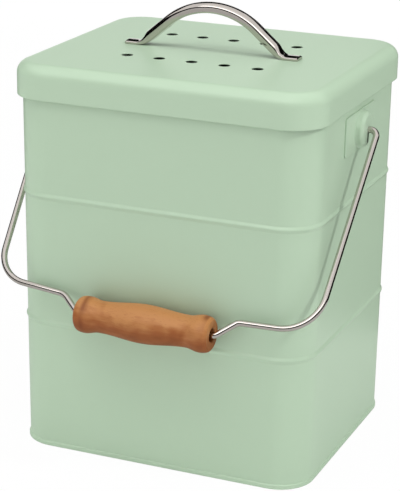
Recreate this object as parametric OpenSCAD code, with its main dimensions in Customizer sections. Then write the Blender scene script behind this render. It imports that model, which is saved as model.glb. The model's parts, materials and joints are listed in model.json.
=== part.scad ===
// Countertop food-scrap caddy: a wrapped sheet-steel tin with a lift-off vented lid, a swinging
// wire bail with a turned wooden grip, and a liner bucket that hangs on the tin's rim.
// Millimetres. Origin: middle of the base, on the surface that the tin stands on. +Z is up,
// -Y is the front, where the bail hangs at rest, and the ears stand on the two X sides.

/* [Tin] */
// Outside width of the tin at its rim
body_w = 197; // [180:1:230]
// Outside depth of the tin at its rim
body_d = 168.7; // [160:1:190]
// Outside corner radius at the rim
corner_r = 23.6; // [20:0.1:26]
// How much narrower each side is at the bottom than at the rim
taper = 1.55; // [1:0.05:2]
// Thickness of the sheet steel
sheet_t = 0.6; // [0.5:0.1:0.8]
// Height of the middle of the lower and upper stiffening beads
bead_z = [85.0, 167.6];
// Height of a bead's bulge
bead_h = 4.8; // [4:0.1:6]
// How far a bead stands out of the wall
bead_out = 0.9; // [0.5:0.1:1.4]
// Height of the panel above the surface that the tin stands on
base_up = 5; // [4:0.5:8]

/* [Lid] */
// Height of the lid's flat top above the base
lid_top = 250; // [240:1:260]
// Depth of the lid's skirt, measured from its top
skirt_h = 21.4; // [20:0.1:24]
// How far the skirt stands outside the tin's rim
lid_over = 2.55; // [2.4:0.05:3]
// Outside radius of the skirt's upright corners
lid_corner_r = 23.4; // [22:0.1:25]
// Outside radius of the rolled edge round the top
lid_edge_r = 7.9; // [6:0.1:8]
// Diameter of a vent hole
vent_d = 7.3; // [6:0.1:8]
// Vent holes in each row
vent_n = 5; // [3:2:5]
// Distance between neighbouring vent holes
vent_pitch = 21.65; // [18:0.05:22]
// Distance between the two rows of vent holes
vent_gap = 68.6; // [60:0.1:72]
// How far the pattern of holes sits off the lid's middle, to the right and to the back
vent_shift = [0.3, 0.9];

/* [Lid handle] */
// Half the distance between the tips of the handle's feet
foot_x = 58.4; // [58:0.1:60]
// Clear height under the bow
bow_rise = 24.4; // [23:0.1:26]
// Inside radius of the bow
bow_r = 42.7; // [41:0.1:44]
// Steepest slope of the bow
bow_angle = 40.4; // [39:0.1:42]
// Inside radius of the bend between a foot and the bow
bow_bend_r = 17; // [14:0.5:18]
// Width and height of the bow's section, a half oval on a flat underside
bow_section = [9.0, 6.6];
// Width and height of a foot's section
foot_section = [9.8, 2.4];
// Distance of each threaded stud from the middle of the lid
stud_x = 54.5; // [54:0.1:55]

/* [Bail] */
// Diameter of the bail's wire
wire_d = 4; // [3.6:0.1:4.2]
// Height of the pivots above the base
pivot_z = 211.5; // [209:0.5:213]
// Half the distance between the arms at the pivots
arm_x = 111.9; // [111:0.1:113]
// Lower corner on the right: from the middle, from the pivots, and bend radius
right_corner = [106.3, 135.6, 24.5];
// Lower corner on the left, which is bent 4 mm higher
left_corner = [106.9, 131.7, 22.2];
// Outer end of the right jog: from the middle, from the pivots, and bend radius
right_jog = [58.2, 136.8, 5];
// Outer end of the left jog
left_jog = [57.9, 136.5, 11];
// Ends of the straight axle in the grip, right and left
axle_x = [46.2, 45.6];
// Distance of the axle from the pivots
axle_v = 147.3; // [146:0.1:149]
// Slope of the bail from straight down, leaning on the front
bail_lean = 41; // [41:0.5:45]
// Side play of the bail, taken up to the left
bail_shift = -1.4; // [-1.4:0.1:0]

/* [Grip] */
// Half the length of the wooden grip
grip_half = 44.3; // [43:0.1:45]
// Radius of the grip at its belly, waists and end bulbs
grip_r = [12.1, 9.9, 11.5];
// Distance of the waists and of the end bulbs from the middle
grip_s = [29, 38];
// Radius of the bore
grip_bore_r = 4.2; // [4:0.1:4.4]

/* [Ears] */
// Width and height of an ear's plate
ear_plate = [55, 24.6];
// Thickness of an ear's sheet
ear_t = 1; // [0.8:0.1:1]
// Radius of the pressed boss where it leaves the plate
boss_r = 12; // [11.8:0.1:12.5]
// Radius of the flat face of the boss
boss_face_r = 8.4; // [8:0.1:9]
// Height of the boss above the tin's wall
boss_h = 6; // [5.8:0.1:6.2]
// Diameter of the pivot hole
pivot_d = 4.14; // [4.1:0.02:4.2]

/* [Liner bucket] */
// Thickness of the bucket's moulded wall
liner_t = 1.6; // [1.4:0.1:2]
// How much narrower each side of the bucket is at its bottom
liner_taper = 5.5; // [5:0.5:8]
// Diameter of the bucket's handle wire
liner_wire_d = 3; // [2.8:0.1:3.2]
// Height of the bucket handle's pivots
liner_pivot_z = 236; // [235:0.5:236]

/* [Charcoal filter] */
// Outside width and depth of the frame that holds the filter
filter_size = [99.8, 92];
// Thickness of the charcoal pad
filter_t = 6.4; // [5:0.1:6.4]

/* [Hidden] */
$fn = 64;

sage = "#b4c9b3";
sage_light = "#bdd2bd";
steel = "#c9c9c6";
zinc = "#a9adb0";
wood = "#b5713f";
charcoal = "#2b2b2b";
plastic = "#d9dcd6";

eps = 0.01;
seat = 0.05;                            // gap left between two faces that rest on each other
cx = body_w / 2 - corner_r;             // centre of a corner, from the middle
cy = body_d / 2 - corner_r;
rim_z = lid_top - 5.7;                  // top of the tin's folded rim
rim_fold = 6.5;                         // height of the fold
taper_h = lid_top - skirt_h;            // the walls taper below the lid's skirt
base_r = corner_r - taper;              // corner radius at the base
hem_h = 3.6;                            // height of the seam round the base
hem_t = 0.75;                           // thickness of the pan's sheet in that seam
seam_w = 12;                            // width of the lap seam down the back

// ---------------------------------------------------------------- shared shapes

// A plate with rounded corners: corner centres at (a, b), corner radius r
module rounded(a, b, r) {
    square([2 * a, 2 * (b + r)], center = true);
    square([2 * (a + r), 2 * b], center = true);
    for (sx = [-1, 1], sy = [-1, 1]) translate([sx * a, sy * b]) circle(r);
}

// Carries a wall section once round a rounded rectangle with corner centres at (a, b).
// The section's x is its distance from the corner centre, and its y is the height.
module round_wall(a, b) {
    for (i = [0:3]) rotate([0, 0, 90 * i]) {
        near = i % 2 == 0 ? a : b;
        far = i % 2 == 0 ? b : a;
        translate([near, far, 0]) rotate_extrude(angle = 90) children();
        translate([near, far, 0]) rotate([90, 0, 0]) linear_extrude(2 * far) children();
    }
}

// A hollow wall section between the lines of points front and back, which run the same way
function ribbon(front, back) = concat(front, [for (i = [len(back) - 1:-1:0]) back[i]]);

// Direction of b seen from a, in degrees
function heading(a, b) = atan2(b[1] - a[1], b[0] - a[0]);
// Change of direction at point i of a path, between -180 and 180
function turn(p, i) = let (d = heading(p[i], p[i + 1]) - heading(p[i - 1], p[i]))
    d > 180 ? d - 360 : d < -180 ? d + 360 : d;
// Length that a bend of radius r at point i takes from the straights beside it
function tangent(p, r, i) = i == 0 || i == len(p) - 1 ? 0 : r[i] * tan(abs(turn(p, i)) / 2);

// A round wire of diameter d bent along the flat path p, with bend radius r[i] at point i.
// Each straight runs a hair into its bends, which are a hair thicker.
module bent_wire(p, r, d) {
    lap = 0.05;
    swell = 0.04;
    last = len(p) - 1;
    for (i = [0:last - 1]) {
        start = tangent(p, r, i) - (i > 0 ? lap : 0);
        end = norm(p[i + 1] - p[i]) - tangent(p, r, i + 1) + (i + 1 < last ? lap : 0);
        translate(p[i]) rotate([0, 0, heading(p[i], p[i + 1])]) translate([start, 0, 0])
            rotate([0, 90, 0]) cylinder(d = d, h = end - start);
    }
    for (i = [1:last - 1]) {
        side = sign(turn(p, i));
        sweep = abs(turn(p, i));
        translate(p[i]) rotate([0, 0, heading(p[i - 1], p[i])])
            translate([-tangent(p, r, i), side * r[i], 0])
                rotate([0, 0, side > 0 ? -90 : 90 - sweep])
                    rotate_extrude(angle = sweep) translate([r[i], 0]) circle(d = d + swell);
    }
}

// ---------------------------------------------------------------- tin

function wall_r(z) = corner_r - taper * (1 - min(z, taper_h) / taper_h);
// Bulge of the beads at height z: one cosine wave each
function bulge(z) = sum_bulge([for (b = bead_z) abs(z - b) < bead_h / 2
    ? bead_out * (1 + cos(360 * (z - b) / bead_h)) / 2 : 0]);
function sum_bulge(v) = v[0] + v[1];
bead_steps = 10;
function bead_heights(b) = [for (i = [0:bead_steps]) b + bead_h * (i / bead_steps - 0.5)];
wall_z = concat([hem_t + seat], bead_heights(bead_z[0]), bead_heights(bead_z[1]), [taper_h]);
function wall_line(out) = [for (z = wall_z) [wall_r(z) + bulge(z) + out, z]];

module wall_section() {
    fold_z = rim_z - rim_fold;
    out = corner_r + sheet_t + seat;
    polygon(ribbon(
        concat(wall_line(0), [[corner_r, fold_z], [out, fold_z], [out, rim_z - 0.4],
            [out - 0.4, rim_z]]),
        concat(wall_line(-sheet_t), [[corner_r - sheet_t, rim_z - 0.4],
            [corner_r - sheet_t + 0.4, rim_z]])));
}

// Two thicknesses of sheet, lapped and pressed flat down the middle of the back
module lap_seam() {
    low = 0.3;
    seam_z = [for (z = wall_z) if (z > hem_h) z];
    function edge(out) = concat([[wall_r(hem_h + low) + out, hem_h + low]],
        [for (z = seam_z) [wall_r(z) + bulge(z) + out, z]]);
    translate([seam_w / 2, cy, 0]) rotate([0, 0, 90]) rotate([90, 0, 0])
        linear_extrude(seam_w) polygon(ribbon(edge(sheet_t * 0.8), edge(-sheet_t / 2)));
}

module body_wrap() color(sage) {
    round_wall(cx, cy) wall_section();
    lap_seam();
}

// A pressed pan, its edge folded down inside the wall and up again outside it
module base_pan() color(sage) {
    inner = base_r - sheet_t - seat;
    outer = base_r + seat + hem_t;
    difference() {
        union() {
            linear_extrude(hem_h) rounded(cx, cy, outer);
            linear_extrude(base_up + sheet_t) rounded(cx, cy, inner);
        }
        translate([0, 0, -eps]) linear_extrude(base_up + eps) rounded(cx, cy, inner - hem_t);
        difference() {
            translate([0, 0, hem_t]) linear_extrude(hem_h) rounded(cx, cy, base_r + seat);
            linear_extrude(2 * hem_h) rounded(cx, cy, inner);
        }
    }
}

// ---------------------------------------------------------------- ears

boss_round = boss_r - boss_face_r - 0.8;   // radius of the pressed shoulder
// Half section of the boss, offset inwards by t: x is the radius, y the height off the wall
function boss_line(t) = concat([[boss_r - t, ear_t - eps]],
    [for (a = [0:15:90]) [boss_face_r + (boss_round - t) * cos(a) , boss_h - boss_round
        + (boss_round - t) * sin(a)]]);

// One ear as it lies on the +X side, pressed from one sheet and spot-welded by its wings
module ear() {
    plate_r = 1.5;
    slot = [2.8, 9];
    wall_x = cx + wall_r(pivot_z);
    lean = atan(taper / taper_h);
    translate([wall_x + seat, 0, pivot_z]) rotate([0, lean, 0]) rotate([90, 0, 90])
    difference() {
        union() {
            linear_extrude(ear_t) difference() {
                rounded(ear_plate[0] / 2 - plate_r, ear_plate[1] / 2 - plate_r, plate_r);
                circle(boss_r - ear_t);
            }
            rotate_extrude() polygon(concat([[0, boss_h]], [[0, boss_h - ear_t]],
                [for (i = [7:-1:0]) boss_line(ear_t)[i]], boss_line(0)));
        }
        cylinder(d = pivot_d, h = 2 * boss_h);
        translate([-slot[0] / 2, -slot[1], boss_h / 2]) cube([slot[0], slot[1], boss_h]);
    }
}

module ear_right() color(sage) ear();
module ear_left() color(sage) mirror([1, 0, 0]) ear();

// ---------------------------------------------------------------- bail and grip

pin_x = 100.6;                          // inner ends of the bail's pins
head = [6.4, 1.2];                      // diameter and thickness of the upset heads
// One side of the bail, from its pin to the axle: x, distance from the pivots and bend radius
function bail_side(corner, jog, end_x) = [[pin_x, 0, 0], [arm_x, 0, 4.6], corner, jog,
    [end_x, axle_v, 6]];
right_side = bail_side(right_corner, right_jog, axle_x[0]);
left_side = bail_side(left_corner, left_jog, axle_x[1]);
bail_points = concat([for (p = right_side) [p[0], p[1]]],
    [for (i = [4:-1:0]) [-left_side[i][0], left_side[i][1]]]);
bail_bends = concat([for (p = right_side) p[2]], [for (i = [4:-1:0]) left_side[i][2]]);

// Places a child drawn flat, with its y running from the pivots along the arms
module on_bail() {
    translate([bail_shift, 0, pivot_z]) rotate([270 - bail_lean, 0, 0]) children();
}

module bail_wire() color(steel) on_bail() {
    bent_wire(bail_points, bail_bends, wire_d);
    for (s = [-1, 1]) translate([s * pin_x, 0, 0]) rotate([0, 90 * s, 0])
        cylinder(d = head[0], h = head[1]);
}

// Radius of the grip at distance s from its middle
edge_cut = 0.7;                         // chamfer round each end face
function grip_radius(s) = let (half_gap = grip_s[1] - grip_s[0], end_r = 9.7,
        end = (s - grip_s[1]) / (grip_half - edge_cut - grip_s[1]))
    s < grip_s[0] ? grip_r[1] + (grip_r[0] - grip_r[1]) * (1 + cos(180 * s / grip_s[0])) / 2 :
    s < grip_s[1] ? grip_r[1] + (grip_r[2] - grip_r[1])
        * (1 - cos(180 * (s - grip_s[0]) / half_gap)) / 2 :
    end_r + (grip_r[2] - end_r) * sqrt(max(0, 1 - end * end));
grip_steps = concat([for (s = [0:2:28]) s], [for (s = [29:1.5:39.5]) s],
    [for (t = [0.3, 0.5, 0.7, 0.85, 0.95, 1]) grip_s[1] + t * (grip_half - edge_cut - grip_s[1])]);

module wood_grip() color(wood) on_bail() translate([0, axle_v, 0]) rotate([0, 90, 0]) {
    bevel = 0.6;
    right = concat([for (s = grip_steps) [grip_radius(s), s]], [[9, grip_half]]);
    left = [for (i = [len(right) - 1:-1:1]) [right[i][0], -right[i][1]]];
    rotate_extrude() polygon(concat(left, right, [[grip_bore_r + bevel, grip_half],
        [grip_bore_r, grip_half - bevel], [grip_bore_r, bevel - grip_half],
        [grip_bore_r + bevel, -grip_half]]));
}

// ---------------------------------------------------------------- lid

lid_cx = body_w / 2 + lid_over - lid_corner_r;
lid_cy = body_d / 2 + lid_over - lid_corner_r;
lid_flat_r = lid_corner_r - lid_edge_r;
skirt_z = lid_top - skirt_h;

// Skirt, its turned-in hem and the rolled edge
module lid_section() {
    hem = 4.5;
    translate([lid_flat_r, lid_top - lid_edge_r]) intersection() {
        difference() {
            circle(lid_edge_r);
            circle(lid_edge_r - sheet_t);
        }
        square(2 * lid_edge_r);
    }
    translate([lid_corner_r - sheet_t, skirt_z + sheet_t])
        square([sheet_t, skirt_h - lid_edge_r - sheet_t]);
    translate([lid_corner_r - 2 * sheet_t, skirt_z + sheet_t]) square([2 * sheet_t, hem - sheet_t]);
    translate([lid_corner_r - sheet_t, skirt_z + sheet_t]) circle(sheet_t);
}

module lid_shell() color(sage_light) difference() {
    union() {
        round_wall(lid_cx, lid_cy) lid_section();
        translate([0, 0, lid_top - sheet_t]) linear_extrude(sheet_t)
            rounded(lid_cx, lid_cy, lid_flat_r);
    }
    for (i = [0:vent_n - 1], s = [-1, 1])
        translate([vent_shift[0] + (i - (vent_n - 1) / 2) * vent_pitch,
                vent_shift[1] + s * vent_gap / 2, lid_top - lid_edge_r])
            cylinder(d = vent_d, h = 2 * lid_edge_r);
    for (s = [-1, 1]) translate([s * stud_x, 0, lid_top - lid_edge_r])
        cylinder(d = 4.5, h = 2 * lid_edge_r);
}

// The handle is one bar, pressed flat at the feet and half-oval in the bow. It is swept along
// the line of its underside: each station is [x, z, slope, width, height].
bow_top = lid_top + bow_rise;
ramp_low = lid_top + bow_bend_r * (1 - cos(bow_angle));
ramp_high = [bow_r * sin(bow_angle), bow_top - bow_r * (1 - cos(bow_angle))];
bend_x = ramp_high[0] + bow_bend_r * sin(bow_angle) + (ramp_high[1] - ramp_low) / tan(bow_angle);
function blend(k) = foot_section * (1 - k) + bow_section * k;
half_bow = concat(
    [for (k = [0, 0.4, 1]) let (f = sin(90 * k))
        [foot_x - k, lid_top, 0, foot_section[0] * (0.88 + 0.12 * f),
            foot_section[1] * (0.7 + 0.3 * f)]],
    [for (k = [0:0.1:1]) let (a = bow_angle * k, s = blend((1 - cos(180 * k)) / 2))
        [bend_x - bow_bend_r * sin(a), lid_top + bow_bend_r * (1 - cos(a)), a, s[0], s[1]]],
    [for (k = [1:-0.1:0]) let (a = bow_angle * k)
        [bow_r * sin(a), bow_top - bow_r * (1 - cos(a)), a, bow_section[0], bow_section[1]]]);
other_half = [for (i = [len(half_bow) - 2:-1:0]) let (s = half_bow[i])
    [-s[0], s[1], -s[2], s[3], s[4]]];

// Half-oval outline of width w and height h: [y, height above the underside]
crown_steps = 14;
function crown(w, h) = let (e = 0.2 * h, side = 0.54 * h) concat(
    [for (a = [-90, -45]) [w / 2 - e + e * cos(a), e + e * sin(a)]],
    [for (i = [0:crown_steps]) let (a = 180 * i / crown_steps)
        [w / 2 * cos(a), side + (h - side) * sin(a)]],
    [for (a = [225, 270]) [-w / 2 + e + e * cos(a), e + e * sin(a)]]);
function ring(s) = [for (q = crown(s[3], s[4]))
    [s[0] + q[1] * sin(s[2]), q[0], s[1] + seat + q[1] * cos(s[2])]];

module lid_handle() color(steel) {
    rings = [for (s = concat(half_bow, other_half)) ring(s)];
    n = len(rings[0]);
    m = len(rings);
    polyhedron([for (r = rings) each r], concat([[for (i = [n - 1:-1:0]) i]],
        [for (j = [0:m - 2], i = [0:n - 1]) let (k = (i + 1) % n)
            [j * n + i, j * n + k, (j + 1) * n + k, (j + 1) * n + i]],
        [[for (i = [0:n - 1]) (m - 1) * n + i]]));
    for (s = [-1, 1]) translate([s * stud_x, 0, stud_low]) cylinder(d = 4, h = lid_top + 1 - stud_low);
}

// ---------------------------------------------------------------- filter and its fixings

under = lid_top - sheet_t - seat;       // underside of the lid, less the gap of a seated face
lug_t = 2;                              // thickness of the frame's lugs
washer = [8.6, 0.8];                    // diameter and thickness
nut = [8.08, 3.2];                      // across corners, and height
washer_z = under - lug_t - seat - washer[1];
nut_z = washer_z - seat - nut[1];
stud_low = nut_z - 1;
frame_wall = 1.4;
frame_low = under - 10;
ledge = [14, 1.1, 1];                   // length, reach and thickness of a snap ledge

module handle_washers() color(zinc)
    for (s = [-1, 1]) translate([s * stud_x, 0, washer_z]) difference() {
        cylinder(d = washer[0], h = washer[1]);
        translate([0, 0, -eps]) cylinder(d = 4.3, h = 2 * washer[1]);
    }

module handle_nuts() color(zinc)
    for (s = [-1, 1]) translate([s * stud_x, 0, nut_z]) difference() {
        cylinder(d = nut[0], h = nut[1], $fn = 6);
        translate([0, 0, -eps]) cylinder(d = 4.1, h = 2 * nut[1]);
    }

module filter_outline(inset) {
    r = 5;
    rounded(filter_size[0] / 2 - r, filter_size[1] / 2 - r, r - inset);
}

module filter_frame() color(plastic) difference() {
    union() {
        translate([0, 0, frame_low]) linear_extrude(under - frame_low) difference() {
            filter_outline(0);
            filter_outline(frame_wall);
        }
        for (s = [-1, 1]) translate([s * stud_x, 0, under - lug_t]) linear_extrude(lug_t) {
            circle(5.4);
            translate([-s * 3, 0]) square([6, 10.8], center = true);
        }
        for (s = [-1, 1], k = [-1, 1]) {
            translate([s * 26, k * (filter_size[1] / 2 - frame_wall - ledge[1] / 2 + eps), frame_low])
                translate([-ledge[0] / 2, -ledge[1] / 2, 0]) cube(ledge);
        }
    }
    for (s = [-1, 1]) translate([s * stud_x, 0, frame_low - eps]) cylinder(d = 4.5, h = 20);
    translate([0, 0, frame_low - eps]) linear_extrude(under - frame_low - 4)
        intersection() {
            square([2 * (filter_size[0] / 2 - frame_wall), 30], center = true);
            filter_outline(frame_wall);
        }
}

grille_z = frame_low + ledge[2] + seat;
grille_t = 1.6;
slot_n = 11;

module filter_grille() color(plastic) translate([0, 0, grille_z]) linear_extrude(grille_t)
    difference() {
        filter_outline(frame_wall + 0.2);
        for (i = [0:slot_n - 1], s = [-1, 1]) translate([(i - (slot_n - 1) / 2) * 8, s * 20])
            rounded(2 - 1.9, 14, 1.9);
    }

module filter_pad() color(charcoal) translate([0, 0, grille_z + grille_t + seat])
    linear_extrude(filter_t) filter_outline(frame_wall + 0.4);

// ---------------------------------------------------------------- liner bucket

liner_low = base_up + sheet_t + 2.4;
flange_z = rim_z + seat;
flange_t = 1.5;
liner_top_r = corner_r - sheet_t - 1.7;
function liner_r(z) = liner_top_r - liner_taper * (flange_z - z) / (flange_z - liner_low);

module liner_section() {
    polygon([[liner_r(liner_low), liner_low], [liner_r(flange_z), flange_z],
        [corner_r + sheet_t, flange_z], [corner_r + sheet_t, flange_z + flange_t],
        [liner_r(flange_z) - liner_t, flange_z + flange_t],
        [liner_r(liner_low) - liner_t, liner_low]]);
}

// Where the bucket handle's pins turn, inside the two side walls
lug_x = cx + liner_r(liner_pivot_z) - liner_t;
lug_reach = 3;
liner_arm_x = lug_x - lug_reach - liner_wire_d / 2 - 1.4;
liner_run_y = 75;
pip = [8, 4.4, 3];                      // small ledges that the folded handle lies on

module inner_bucket() color(plastic) difference() {
    union() {
        round_wall(cx, cy) liner_section();
        translate([0, 0, liner_low]) linear_extrude(2) rounded(cx, cy, liner_r(liner_low) - 0.5);
        for (s = [-1, 1]) translate([s * (lug_x - lug_reach), 0, liner_pivot_z])
            rotate([0, s * 90, 0]) cylinder(d = 11, h = lug_reach + liner_t / 2);
        for (s = [-1, 1])
            translate([s * 60 - pip[0] / 2, -cy - liner_r(liner_pivot_z) + liner_t / 2,
                liner_pivot_z - liner_wire_d / 2 - seat - pip[2]]) cube(pip);
    }
    for (s = [-1, 1]) translate([s * (lug_x - lug_reach - 1), 0, liner_pivot_z])
        rotate([0, s * 90, 0]) cylinder(d = liner_wire_d + 0.14, h = 20);
}

module bucket_handle() color(zinc) {
    pin = lug_x + liner_t - 0.5;
    path = [[pin, 0], [liner_arm_x, 0], [liner_arm_x, -liner_run_y],
        [-liner_arm_x, -liner_run_y], [-liner_arm_x, 0], [-pin, 0]];
    translate([0, 0, liner_pivot_z]) bent_wire(path, [0, 2.6, 16, 16, 2.6, 0], liner_wire_d);
}

body_wrap();
base_pan();
ear_left();
ear_right();
bail_wire();
wood_grip();
lid_shell();
lid_handle();
handle_washers();
handle_nuts();
filter_frame();
filter_pad();
filter_grille();
inner_bucket();
bucket_handle();
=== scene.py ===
# Looks of a countertop compost caddy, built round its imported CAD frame: a powder-coated steel tin
# and lift-off lid, a polished bow and bail, a turned wooden grip, and the parts inside.
# Sizes are in millimetres in the sections, in the CAD's frame: +Z up, -Y to the front.
import math
from math import cos, hypot, pi, radians, sin, sqrt

import bpy
from mathutils import Matrix, Vector
from mathutils.geometry import delaunay_2d_cdt
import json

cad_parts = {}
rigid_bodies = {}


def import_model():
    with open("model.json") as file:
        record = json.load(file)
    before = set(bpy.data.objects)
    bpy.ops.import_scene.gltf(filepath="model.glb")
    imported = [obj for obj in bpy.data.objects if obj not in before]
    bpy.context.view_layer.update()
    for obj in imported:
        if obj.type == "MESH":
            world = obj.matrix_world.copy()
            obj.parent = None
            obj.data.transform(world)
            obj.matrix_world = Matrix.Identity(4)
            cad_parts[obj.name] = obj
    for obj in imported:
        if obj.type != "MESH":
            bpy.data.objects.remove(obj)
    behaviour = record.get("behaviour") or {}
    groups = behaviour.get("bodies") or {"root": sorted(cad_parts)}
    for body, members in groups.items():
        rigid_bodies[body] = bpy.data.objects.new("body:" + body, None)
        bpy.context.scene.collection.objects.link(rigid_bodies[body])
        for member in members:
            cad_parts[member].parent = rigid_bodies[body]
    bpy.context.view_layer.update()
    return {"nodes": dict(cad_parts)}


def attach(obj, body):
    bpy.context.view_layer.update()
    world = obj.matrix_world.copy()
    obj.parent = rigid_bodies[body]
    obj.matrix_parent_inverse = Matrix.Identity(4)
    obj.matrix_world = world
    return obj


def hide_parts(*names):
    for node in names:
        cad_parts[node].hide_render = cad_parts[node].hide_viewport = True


for leftover in list(bpy.data.objects):
    bpy.data.objects.remove(leftover)
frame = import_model()


# ---- Tin ------------------------------------------------------------------------------------
# One sheet of 0.6 mm steel bent round into a rectangle with soft corners, lapped down the back.
# Two beads are rolled into it for stiffness, and the top edge is folded over outwards.
# It is powder-coated sage green inside and out after the ears are welded on.

MM = 0.001
CORNER_X, CORNER_Y, CORNER_R = 74.9, 60.75, 23.6    # centres and radius of the tin's corners
TAPER, TAPER_H = 1.55, 228.6            # the wall leans out by this much, up to this height
SHEET = 0.6
RIM_Z = 244.3
BEADS = (85.0, 167.6)
BEAD_H, BEAD_OUT = 4.8, 0.9
SEAM_W = 12.0                           # width of the lap down the back


def srgb(code):
    """A hex colour as linear red, green, blue and alpha."""
    parts = [int(code[i : i + 2], 16) / 255 for i in (1, 3, 5)]
    return (*(c / 12.92 if c <= 0.04045 else ((c + 0.055) / 1.055) ** 2.4 for c in parts), 1)


def add(tree, kind, inputs=None, **settings):
    """Adds a shader node, sets it up and fills its sockets with values or links."""
    node = tree.nodes.new("ShaderNode" + kind)
    for key, value in settings.items():
        setattr(node, key, value)
    for socket, value in (inputs or {}).items():
        if isinstance(value, bpy.types.NodeSocket):
            tree.links.new(value, node.inputs[socket])
        else:
            node.inputs[socket].default_value = value
    return node


def new_finish(name):
    """An empty material, its node tree and the coordinates of its piece at rest."""
    finish = bpy.data.materials.new(name)
    finish.use_nodes = True
    tree = finish.node_tree
    tree.nodes.clear()
    return finish, tree, add(tree, "TexCoord").outputs["Object"]


def coat_surface(finish, tree, inputs, **settings):
    """Ends a material with the surface shader."""
    surface = add(tree, "BsdfPrincipled", inputs, **settings)
    add(tree, "OutputMaterial", {"Surface": surface.outputs["BSDF"]})
    return finish


def powder_coat(name, colour, shade):
    """Satin polyester powder coat on steel: opaque, evenly coloured, with a soft sheen and a
    fine orange peel of about 1.5 mm that shows only where light grazes it."""
    finish, tree, place = new_finish(name)
    drift = add(tree, "TexNoise", {"Vector": place, "Scale": 9.0, "Detail": 2.0})
    tint = add(tree, "Mix", {"Factor": drift.outputs["Fac"], "A": srgb(shade), "B": srgb(colour)},
               data_type="RGBA")
    peel = add(tree, "TexNoise", {"Vector": place, "Scale": 650.0, "Detail": 1.0})
    bump = add(tree, "Bump", {"Height": peel.outputs["Fac"], "Strength": 0.12,
                              "Distance": 0.05 * MM})
    gloss = add(tree, "MapRange", {"Value": drift.outputs["Fac"], "To Min": 0.31, "To Max": 0.37})
    return coat_surface(finish, tree, {
        "Base Color": tint.outputs["Result"], "Roughness": gloss.outputs["Result"],
        "IOR": 1.5, "Specular IOR Level": 0.42, "Normal": bump.outputs["Normal"]})


def loop_round(cx, cy, r, steps=14):
    """Points of a rounded rectangle, anticlockwise, with corner centres at (cx, cy). The straight
    sides get a point close to each corner, which keeps their shading flat."""
    loop = []
    for quarter, (sx, sy) in enumerate(((1, 1), (-1, 1), (-1, -1), (1, -1))):
        for i in range(steps + 1):
            a = pi / 2 * (quarter + i / steps)
            loop.append((sx * cx + r * cos(a), sy * cy + r * sin(a)))
        a = pi / 2 * (quarter + 1)
        run = 2 * (cx if quarter % 2 == 0 else cy)
        x, y = loop[-1]
        for along in (1.5, run / 2, run - 1.5):
            loop.append((x + along * cos(a + pi / 2), y + along * sin(a + pi / 2)))
    return loop


def sweep_round(cx, cy, section, closed=True, steps=14):
    """Carries a section of (distance from the corner centre, height) round a rounded rectangle."""
    points, faces = [], []
    for r, z in section:
        points += [(x, y, z) for x, y in loop_round(cx, cy, r, steps)]
    n = len(points) // len(section)
    for j in range(len(section) if closed else len(section) - 1):
        k = (j + 1) % len(section)
        for i in range(n):
            m = (i + 1) % n
            faces.append((j * n + i, j * n + m, k * n + m, k * n + i))
    return points, faces


def join_shapes(*shapes):
    """Several lists of points and faces as one."""
    points, faces = [], []
    for more, sides in shapes:
        faces += [tuple(i + len(points) for i in side) for side in sides]
        points += more
    return points, faces


def make_piece(name, shape, finish, body, sharp=40):
    """Makes a mesh piece from points in millimetres and lets it ride on a body of the frame."""
    points, faces = shape
    mesh = bpy.data.meshes.new(name)
    mesh.from_pydata([(x * MM, y * MM, z * MM) for x, y, z in points], [], faces)
    mesh.validate()
    mesh.shade_smooth()
    mesh.set_sharp_from_angle(angle=radians(sharp))
    mesh.materials.append(finish)
    piece = bpy.data.objects.new(name, mesh)
    bpy.context.scene.collection.objects.link(piece)
    even = piece.modifiers.new("even shading", "WEIGHTED_NORMAL")
    even.keep_sharp = True
    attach(piece, body)
    return piece


def arc(cx, cy, r, start, end, steps=6):
    """Points of a circle's arc between two angles in degrees."""
    return [(cx + r * cos(radians(start + (end - start) * i / steps)),
             cy + r * sin(radians(start + (end - start) * i / steps))) for i in range(steps + 1)]


def wall_r(z):
    """Radius of the wall's outer face round a corner's centre."""
    return CORNER_R - TAPER * (1 - min(z, TAPER_H) / TAPER_H)


def bulge(z):
    """How far the beads stand out at a height."""
    return sum(BEAD_OUT * (1 + cos(2 * pi * (z - b) / BEAD_H)) / 2
               for b in BEADS if abs(z - b) < BEAD_H / 2)


wall_heights = [0.8, 2.2]
for b in BEADS:
    wall_heights += [b - BEAD_H / 2 - 1.5] + [b + BEAD_H * (i / 24 - 0.5) for i in range(25)]
    wall_heights += [b + BEAD_H / 2 + 1.5]
wall_heights += [TAPER_H, 237.2]
outside = [(wall_r(z) + bulge(z), z) for z in wall_heights]
inside = [(r - SHEET, z) for r, z in outside]
fold = (arc(CORNER_R + 0.4, 238.2, 0.25, -180, -60, 3) + arc(CORNER_R + 0.3, 238.4, 0.35, -50, 0, 3)
        + arc(CORNER_R + 0.05, RIM_Z - SHEET, SHEET, 0, 90, 5)
        + arc(CORNER_R, RIM_Z - SHEET, SHEET, 90, 180, 5))
wall = sweep_round(CORNER_X, CORNER_Y, outside + fold + inside[::-1])

lap_rows = [4.2] + [z for z in wall_heights if 4.2 < z < TAPER_H] + [TAPER_H, 237.6]
lap_edge = SEAM_W / 2
lap_columns = [(-lap_edge, -0.15), (0.05 - lap_edge, 0.25), (0.2 - lap_edge, 0.42),
               (0.5 - lap_edge, 0.47), (0.0, 0.48), (lap_edge / 2, 0.47), (lap_edge - 1.6, 0.36),
               (lap_edge - 0.7, 0.12), (lap_edge, -0.15)]
lap_points = [(x, CORNER_Y + wall_r(z) + bulge(z) + out, z)
              for z in lap_rows for x, out in lap_columns]
w = len(lap_columns)
lap_faces = [(j * w + i, (j + 1) * w + i, (j + 1) * w + i + 1, j * w + i + 1)
             for j in range(len(lap_rows) - 1) for i in range(w - 1)]

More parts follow.
